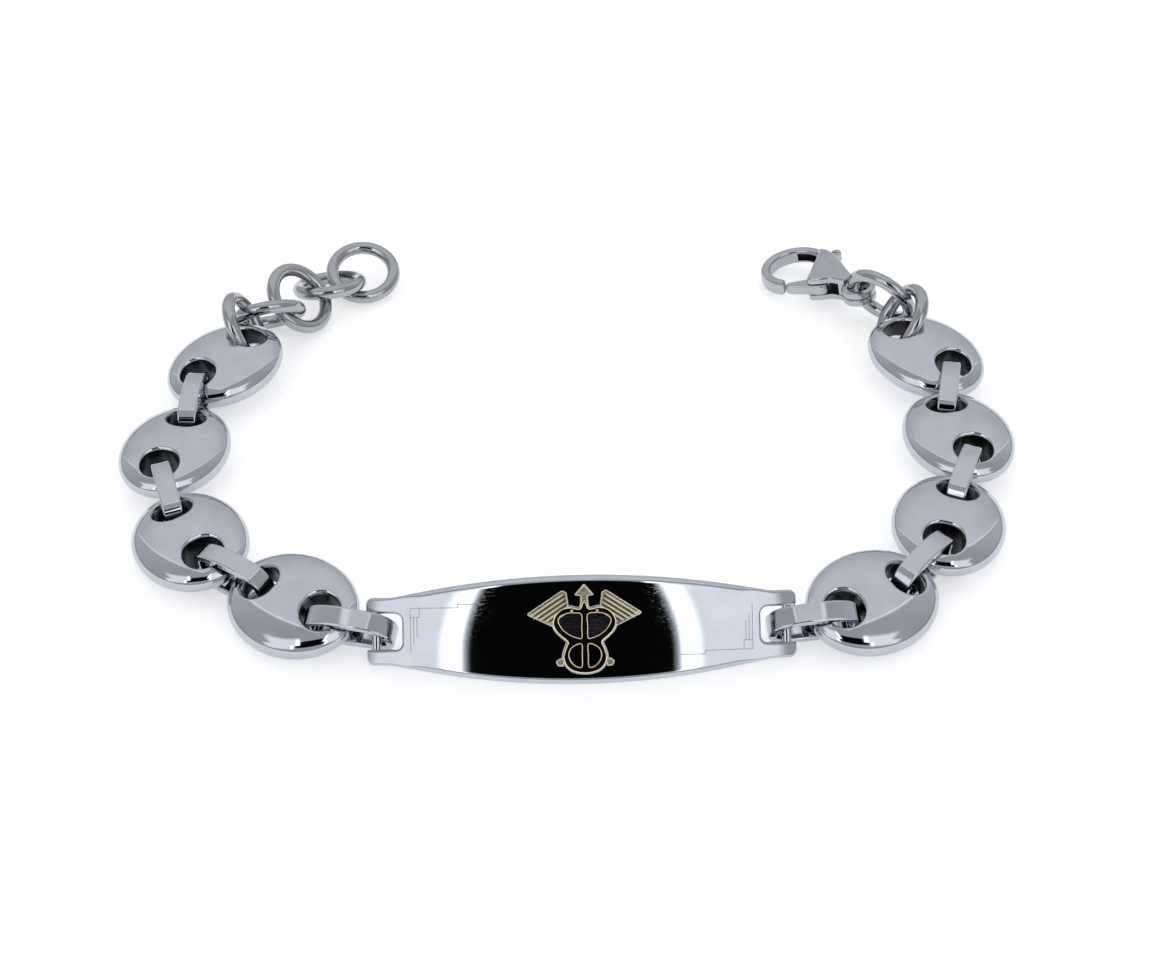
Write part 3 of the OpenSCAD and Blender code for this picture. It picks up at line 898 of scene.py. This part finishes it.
def build_emblem(metals):
    """Metals are the mirror face's, the pale wings', the grooves', the ground's and the foot's."""
    outline = flowing(whole(SNAKE_OUTLINE), FOOT_EDGE)
    foot = [(x + nx * FOOT_OUT, y + ny * FOOT_OUT, nx, ny, e) for x, y, nx, ny, e in outline]
    surfaces = raised(snake_loops(), EMBLEM_T, MIRROR, grid=0.4)
    surfaces += raised([rounded(ARROW, 0.14)], ARROW_TOP, PALE)
    # The ground behind the upper holes, in near-black steel: painted shade.
    surfaces += raised([flowing(whole(GROUND), 0.05)], GROUND_TOP, DARK, steps=2)
    right = raised([rounded(WING, 0.1)], WING_TOP, PALE)
    # Dark gold field under the feathers: painted shade between them.
    right += raised([rounded(shrunk(WING, WING_FIELD), 0.02)], WING_FIELD_TOP, GROOVE, steps=1)
    right += raised([rounded(TAIL, 0.12)], TAIL_TOP, PALE)
    right += feathers()
    surfaces += right + [mirrored_surface(s) for s in right]
    # The foot in pale steel: a painted highlight round the snakes.
    surfaces += raised([foot, *snake_loops()[1:]], FOOT_TOP, STEEL_FOOT, grid=0)
    for side in (-1, 1):
        x, y = side * HEAD_AT[0], HEAD_AT[1]
        head = ridge((x - HEAD_HALF_L, y), (x + HEAD_HALF_L, y), *HEAD_SHAPE, tip=HEAD_HALF_L)
        surfaces.append((*head, MIRROR))
    placed = [on_arch(in_place(s), drop=False) for s in surfaces]
    piece("emblem_gold", placed, metals, "chain", "caduceus")


def in_place(surface):
    """An emblem's surface, drawn at the size of its outlines, at its size and place on the plate."""
    points = [(x * EMBLEM_SCALE + EMBLEM_X, y * EMBLEM_SCALE, z) for x, y, z in surface[0]]
    return (points, *surface[1:])


def shrunk(corners, share):
    """Corners drawn towards their middle."""
    x0 = sum(c[0] for c in corners) / len(corners)
    y0 = sum(c[1] for c in corners) / len(corners)
    return [(x0 + (x - x0) * share, y0 + (y - y0) * share, r) for x, y, r in corners]


# Clasp, in its own frame: X from the eye to the hook, Z along the lever's pin

# Corners of a cheek: shares of the hook's distance and of its radius, and the corner radius
CHEEK = [
    (0.155, -0.2, 0.3), (0.326, -0.39, 3), (0.506, -0.635, 3), (0.68, -0.815, 3), (0.835, -0.93, 3),
    (0.96, -0.985, 0.35), (0.97, -0.75, 0.35), (0.902, -0.7, 0.5), (0.814, -0.37, 2), (0.742, -0.06, 2),
    (0.598, 0.58, 0.35), (0.536, 0.57, 0.4), (0.446, 0.425, 3), (0.35, 0.225, 1.2), (0.155, 0.15, 0.3),
]
# Blocks that join the cheeks, at the neck and at the hook's root, as (x, y, corner radius)
NECK = [(1.3, -0.75, 0.1), (2.56, -1.28, 0.1), (2.56, 0.72, 0.1), (1.3, 0.52, 0.1)]
ROOT = [(7.79, -3.75, 0.1), (9.0, -3.95, 0.1), (9.05, -3.25, 0.1), (8.5, -3.05, 0.1),
        (8.15, -2.4, 0.1), (7.79, -2.4, 0.1)]
CHEEK_EDGE = 0.33
# Where the cheeks start to fall off towards the hook, over what length and by how much
FALL_START = 6.6
FALL_LENGTH = 2.6
FALL_DEPTH = 0.5
# Angles round the hook's circle: its root, the end of its pocket and its tip
HOOK_ROOT = -113
POCKET_END = -51
HOOK_TIP = 102
HOOK_EDGE = 0.38
# Thickness of the tip's last sections, and the angle between them
TIP_ROUNDING = (0.98, 0.93, 0.82, 0.6)
TIP_STEP = 1.7
EYE_HOLE_R = 1.2
EYE_R = 1.95
EYE_HALF_T = 0.9
EYE_EDGE = 0.28
LEVER_EDGE = 0.3
KNOB_EDGE = 0.25
TAB_START = 0.3
TAB_HALF_W = 0.4


def on_clasp(surface):
    """A surface given in the clasp's frame, put in place."""
    return moved(surface, turned(*CLASP_TURN), CLASP_AT)


def shifted(surface, x, y, z=0.0):
    return moved(surface, Matrix.Identity(3), (x, y, z))


def hook_stations(start, end, count):
    """Stations on the hook's circle from one angle to another."""
    return [station(HOOK_MID_R, start + (end - start) * i / count) for i in range(count + 1)]


def hook_surfaces():
    """The hook's band: its root with the pocket on its inside, and the rest with a rounded tip."""
    half_w = HOOK_W / 2
    section = round_section(half_w, HOOK_T / 2, HOOK_EDGE)
    quarter = len(section) // 4
    low_lip = (-half_w, -POCKET_HALF_T, -1, 0)
    high_lip = (-half_w, POCKET_HALF_T, -1, 0)
    shell = [low_lip, *section[2 * quarter:], *section[:2 * quarter], high_lip]
    deep = half_w - POCKET_WALL
    groove = [
        (-half_w, POCKET_HALF_T, 0, -1), (deep, POCKET_HALF_T, 0, -1), (deep, POCKET_HALF_T, -1, 0),
        (deep, -POCKET_HALF_T, -1, 0), (deep, -POCKET_HALF_T, 0, 1), (-half_w, -POCKET_HALF_T, 0, 1),
    ]
    root = hook_stations(HOOK_ROOT, POCKET_END, 24)
    rest = hook_stations(POCKET_END, HOOK_TIP, 48)
    for k, share in enumerate(TIP_ROUNDING):
        rest.append(station(HOOK_MID_R, HOOK_TIP + TIP_STEP * (k + 1), share))
    outside = swept(root, shell, closed=False, whole_section=False)
    # The pocket's groove is near-black steel: painted shade in the recess.
    pocket = (*swept(root, groove, closed=False, whole_section=False), 1)
    made = [outside, pocket, swept(rest, section, closed=False)]
    return [shifted(s, HOOK_X, 0) for s in made]


def revolved(profile, steps=64):
    """A body turned about Z from (radius, height, normal out, normal up) points, closed on itself."""
    points, normals = [], []
    for c, s in around(steps):
        for r, z, nr, nz in profile:
            points.append((r * c, r * s, z))
            normals.append((nr * c, nr * s, nz))
    return points, normals, grid_faces(steps, len(profile), True, True)


def eye_surfaces():
    """Two rounded discs on each other, with a groove between them and a hole."""
    out = (EYE_HOLE_R + EYE_R) / 2
    section = round_section((EYE_R - EYE_HOLE_R) / 2, EYE_HALF_T / 2, EYE_EDGE)
    made = []
    for middle in (-EYE_HALF_T / 2, EYE_HALF_T / 2):
        made.append(revolved([(out + a, middle + b, na, nb) for a, b, na, nb in section]))
    return made


def pin_surface(r, half, edge=0.08):
    """A pin along Z about its middle, with rounded ends."""
    axis = 0.001
    corners = arc(r - edge, half - edge, edge, 90, 0, 4) + arc(r - edge, edge - half, edge, 0, -90, 4)
    profile = [(axis, half, 0, 1), *corners, (axis, -half, 0, -1)]
    return revolved(profile, 32)


def narrowing(start, end, start_r, end_r, edge):
    """The outline of a flat bar with round ends that narrows from one to the other."""
    along = Vector(end) - Vector(start)
    heading = math.degrees(math.atan2(along.y, along.x))
    turn = math.degrees(math.acos((start_r - end_r) / along.length))
    front = arc(*end, end_r, heading - turn, heading + turn, 16, edge)
    return front + arc(*start, start_r, heading + turn, heading + 360 - turn, 16, edge)


def eased(surface):
    """The upper cheek's surface, whose outer face falls off towards the hook."""
    points, normals = [], []
    for (x, y, z), (nx, ny, nz) in zip(surface[0], surface[1]):
        share = min(1, max(0, (x - FALL_START) / FALL_LENGTH))
        depth = (z - SLOT_HALF_T) / (BODY_HALF_T - SLOT_HALF_T)
        z -= FALL_DEPTH * share * share * max(0, depth)
        nx += FALL_DEPTH * 2 * share / FALL_LENGTH * max(0, nz)
        points.append((x, y, z))
        normals.append((nx, ny, nz))
    return (points, normals, *surface[2:])


def build_clasp_frame(satin, dark):
    """Two cheeks with insides of near-black steel, which is painted shade, the blocks that join them, the
    hook and the eye.
    """
    loop = rounded([(x * HOOK_X, y * HOOK_R, r) for x, y, r in CHEEK], CHEEK_EDGE)
    upper = plaque([loop], SLOT_HALF_T, BODY_HALF_T, grid=0.7, foot=0.05)
    # The upper cheek's inner face, and below the lower one's, are painted shade in near-black steel.
    upper[-1] = (*upper[-1], 1)
    body = [eased(s) for s in upper]
    for points, normals, faces, *kind in body[:]:
        below = [(x, y, -z) for x, y, z in points]
        body.append((below, [(x, y, -z) for x, y, z in normals], faces, *kind))
    half = SLOT_HALF_T + 0.05
    for block in (NECK, ROOT):
        body += plaque([rounded(block, 0.05)], -half, half, foot=0.05)
    body += hook_surfaces()
    body += eye_surfaces()
    piece("clasp_frame", [on_clasp(s) for s in body], [satin, dark], "chain", "clasp_body")


def build_lever(satin):
    """The lever's arm with its nose, and the thumb tab with its knob, which turns about the pin."""
    half = LEVER_T / 2
    arm = narrowing(PIVOT, NOSE, HUB_R, NOSE_R, LEVER_EDGE)
    lever = plaque([arm], -half, half, foot=LEVER_EDGE)
    low, high = (TAB_START, -TAB_HALF_W), (TAB_L, TAB_HALF_W)
    corners = [(low[0], low[1]), (high[0], low[1]), (high[0], high[1]), (low[0], high[1])]
    tab = rounded([(x, y, 0.05) for x, y in corners], 0.1)
    knob = [(TAB_L + KNOB_R * c, KNOB_R * s, c, s, KNOB_EDGE) for c, s in around(32)]
    turn = turned((TAB_TURN, "Z"))
    for flat in (tab, knob):
        for surface in plaque([flat], -half, half, foot=KNOB_EDGE):
            lever.append(shifted(moved(surface, turn, (0, 0, 0)), *PIVOT))
    made = [on_clasp(surface) for surface in lever]
    piece("clasp_lever_arm", made, [satin], "lever", "clasp_lever")


# Light: a soft white tent, with the dark place where the camera stands. Widths and places are
# cosines of the angle to an axis, and a pair is where a soft step starts and ends.

SIDE_TONE = 0.55
BACK_TONE = 0.72
TOP_TONE = 0.92
WALL_STEP = (-0.1, 0.7)
TOP_STEP = (0.25, 0.8)
# The ceiling's front edge is a wide V: how it goes back with the height and with the side
EDGE_RISE = 0.32
EDGE_SPREAD = -0.9
EDGE_STEP = (-0.012, 0.012)
RIM_AT = 0.03
RIM_STEP = (0.0, 0.035)
RIM_RISE = (0.1, 0.4)
RIM_GAIN = 0.35
# Cards beside the camera: the pale one's ends, the white one's outer end, and both ones' height
FRONT_STEP = (0.4, 0.6)
CARD_START = (0.34, 0.362)
CARD_END = (0.75, 0.85)
CARD_GAIN = 0.8
WHITE_END = (0.4, 0.435)
WHITE_GAIN = 1.1
CARD_HEIGHT = (0.26, 0.42)
# Above this place the cards and the camera close in, which rounds the dark part's upper corners
BEND_FROM = -0.06
BEND_RATE = 50.0
BEND_MAX = 0.1
HORIZON_AT = 0.05
HORIZON_STEP = (0.015, 0.1)
HORIZON_DEPTH = 0.3
DARK_SHIFT = -0.031
DARK_HALF_ACROSS = 0.335
DARK_HALF_UP = 0.24
DARK_POWER = 8.0
DARK_STEP = (0.75, 1.25)
DARK_DEPTH = 0.995
TENT_TINT = (0.97, 0.985, 1.0)


def tent_walls(nodes, across, rise, depth):
    """The tone of the grey sides, the lighter back wall and the ceiling with its brighter rim."""
    wall = nodes.fade(depth, WALL_STEP, SIDE_TONE, BACK_TONE)
    edge = nodes.math("MULTIPLY_ADD", rise, EDGE_RISE, depth)
    edge = nodes.math("MULTIPLY_ADD", nodes.math("ABSOLUTE", across), EDGE_SPREAD, edge)
    ceiling = nodes.math("MULTIPLY_ADD", nodes.fade(rise, TOP_STEP), TOP_TONE - BACK_TONE, BACK_TONE)
    mix = nodes.tree.nodes.new("ShaderNodeMix")
    nodes.feed(mix, "i0", nodes.fade(edge, EDGE_STEP))
    nodes.feed(mix, "i2", wall)
    nodes.feed(mix, "i3", ceiling)
    rim = nodes.fade(nodes.apart(edge, RIM_AT), RIM_STEP, 1.0, 0.0)
    rim = nodes.math("MULTIPLY", rim, nodes.fade(rise, RIM_RISE))
    return nodes.math("MULTIPLY_ADD", rim, RIM_GAIN, mix.outputs[0])


def with_cards(nodes, tone, beside, over, front):
    """The tone with the soft cards beside the camera: white next to it, paler farther out."""
    level = nodes.fade(nodes.math("ABSOLUTE", over), CARD_HEIGHT, 1.0, 0.0)
    level = nodes.math("MULTIPLY", level, front)
    pale = nodes.math("MULTIPLY", nodes.fade(beside, CARD_START), nodes.fade(beside, CARD_END, 1.0, 0.0))
    white = nodes.math("MULTIPLY", pale, nodes.fade(beside, WHITE_END, 1.0, 0.0))
    tone = nodes.math("MULTIPLY_ADD", nodes.math("MULTIPLY", pale, level), CARD_GAIN, tone)
    return nodes.math("MULTIPLY_ADD", nodes.math("MULTIPLY", white, level), WHITE_GAIN, tone)


def darkened(nodes, tone, share):
    """The tone with a share of it taken away."""
    return nodes.math("MULTIPLY", tone, nodes.math("SUBTRACT", 1.0, share))


def camera_shade(nodes, beside, over, front):
    """How dark the camera makes each direction: a rounded oblong."""
    a = nodes.math("POWER", nodes.math("DIVIDE", beside, DARK_HALF_ACROSS), DARK_POWER)
    up = nodes.math("ABSOLUTE", nodes.math("DIVIDE", over, DARK_HALF_UP))
    b = nodes.math("POWER", up, DARK_POWER)
    shade = nodes.fade(nodes.math("ADD", a, b), DARK_STEP, 1.0, 0.0)
    return nodes.math("MULTIPLY", nodes.math("MULTIPLY", shade, front), DARK_DEPTH)


def light_tent():
    """The world: each direction's tone is built up from soft steps."""
    world = bpy.data.worlds.new("tent")
    bpy.context.scene.world = world
    world.use_nodes = True
    nodes = Nodes(world.node_tree)
    place = nodes.add("ShaderNodeTexCoord").outputs["Generated"]
    e = CAMERA_ELEVATION
    across = nodes.dot(place, (1, 0, 0))
    over = nodes.dot(place, (0, math.sin(e), math.cos(e)))
    ahead = nodes.dot(place, (0, -math.cos(e), math.sin(e)))
    rise = nodes.dot(place, (0, 0, 1))
    depth = nodes.dot(place, (0, 1, 0))
    front = nodes.fade(ahead, FRONT_STEP)
    above = nodes.math("MAXIMUM", nodes.math("SUBTRACT", over, BEND_FROM), 0.0)
    bend = nodes.math("MULTIPLY", nodes.math("MULTIPLY", above, above), BEND_RATE)
    beside = nodes.math("ADD", nodes.apart(across, DARK_SHIFT), nodes.math("MINIMUM", bend, BEND_MAX))
    tone = tent_walls(nodes, across, rise, depth)
    tone = with_cards(nodes, tone, beside, over, front)
    # The dark line where the floor ends
    tone = darkened(nodes, tone, nodes.fade(nodes.apart(rise, HORIZON_AT), HORIZON_STEP, HORIZON_DEPTH, 0.0))
    tone = darkened(nodes, tone, camera_shade(nodes, beside, over, front))
    tint = nodes.tree.nodes.new("ShaderNodeCombineColor")
    for i, share in enumerate(TENT_TINT):
        nodes.feed(tint, f"i{i}", nodes.math("MULTIPLY", tone, share))
    background = nodes.add("ShaderNodeBackground", Color=tint.outputs[0])
    nodes.add("ShaderNodeOutputWorld", Surface=background.outputs[0])


FLOOR_HALF = 1.2
FLOOR_DROP = 0.00002
FLOOR_COLOUR = (0.93, 0.93, 0.94, 1)
FLOOR_GLOW = 0.42


def make_floor():
    """The pale floor, just below the bracelet."""
    low = CAD_BOX[0].z - FLOOR_DROP
    corners = [(x * FLOOR_HALF, y * FLOOR_HALF, low) for x, y in ((-1, -1), (1, -1), (1, 1), (-1, 1))]
    mesh = bpy.data.meshes.new("floor")
    mesh.from_pydata(corners, [], [(0, 1, 2, 3)])
    floor = bpy.data.objects.new("floor", mesh)
    bpy.context.scene.collection.objects.link(floor)
    material, nodes = new_material("floor_white")
    shader = nodes.add("ShaderNodeBsdfPrincipled", Base_Color=FLOOR_COLOUR, Roughness=0.7)
    nodes.feed(shader, "Emission Color", (1, 1, 1, 1))
    nodes.feed(shader, "Emission Strength", FLOOR_GLOW)
    nodes.add("ShaderNodeOutputMaterial", Surface=shader.outputs[0])
    mesh.materials.append(material)


make_camera()
light_tent()
make_floor()
bpy.context.scene.view_settings.view_transform = "Standard"

STEEL = (0.50, 0.525, 0.575)
polished = metal("steel_polished", STEEL, 0.04, 0.04, scratch=0.006, grain=0.006)
plate_steel = metal("steel_plate", STEEL, 0.02, 0.025, scratch=0.003, grain=0.003)
# Ring steel darker than the links' steel: painted shade.
ring_steel = metal("steel_ring_painted_shade", (0.40, 0.41, 0.435), 0.09, 0.07, scratch=0.03, grain=0.03)
# Near-black steel, painted shade: in the links' holes, the clasp's insides and pocket, and the emblem's
# ground.
dark = metal("steel_painted_shade", (0.05, 0.05, 0.055), 0.24, 0.1, scratch=0.1, grain=0.2)
satin = metal("steel_satin", (0.45, 0.465, 0.495), 0.22, 0.08, scratch=0.05, grain=0.07)
# Pale steel, lighter than the plate's: a painted highlight round the emblem.
pale_steel = metal("steel_pale_painted_highlight", (0.62, 0.64, 0.68), 0.3, 0.1, scratch=0.05, grain=0.1)
# Darker steel for the ornament's lines: painted shade of engraved grooves.
line_steel = metal("steel_engraved_painted_shade", (0.30, 0.31, 0.34), 0.35, 0.1, scratch=0.05, grain=0.1)
mirror_gold = metal("gold_polished", (0.88, 0.78, 0.52), 0.06, 0.05, scratch=0.01, grain=0.01)
pale_gold = metal("gold_satin", (0.80, 0.74, 0.58), 0.26, 0.12, scratch=0.05, grain=0.15)
# Dark gold: painted shade in the wings' grooves.
dark_gold = metal("gold_groove_painted_shade", (0.16, 0.12, 0.08), 0.4, 0.1, scratch=0.05, grain=0.2)

plate = plaque([plate_loop()], -PLATE_T, 0, grid=0.6, foot=0.5, steps=6)
plate = [on_arch(s) for s in plate + engraved(engraved_boxes())]
piece("id_plate_polished", plate, [plate_steel, line_steel], "chain", "id_plate")
build_emblem([mirror_gold, pale_gold, dark_gold, dark, pale_steel])
build_chain(polished, dark, ring_steel)
build_clasp_frame(satin, dark)
build_lever(satin)
for side in ("left", "right"):
    node = f"plate_pin_{side}"
    turn = turned((PLATE_LEAN, "X"), (90, "X"))
    pin = moved(pin_surface(PLATE_PIN_R, PLATE_PIN_HALF), turn, centre(node))
    piece(f"{node}_polished", [pin], [polished], "chain", node)
pin = on_clasp(shifted(pin_surface(PIN_R, PIN_HALF), *PIVOT))
piece("clasp_pin_satin", [pin], [satin], "chain", "clasp_pin")
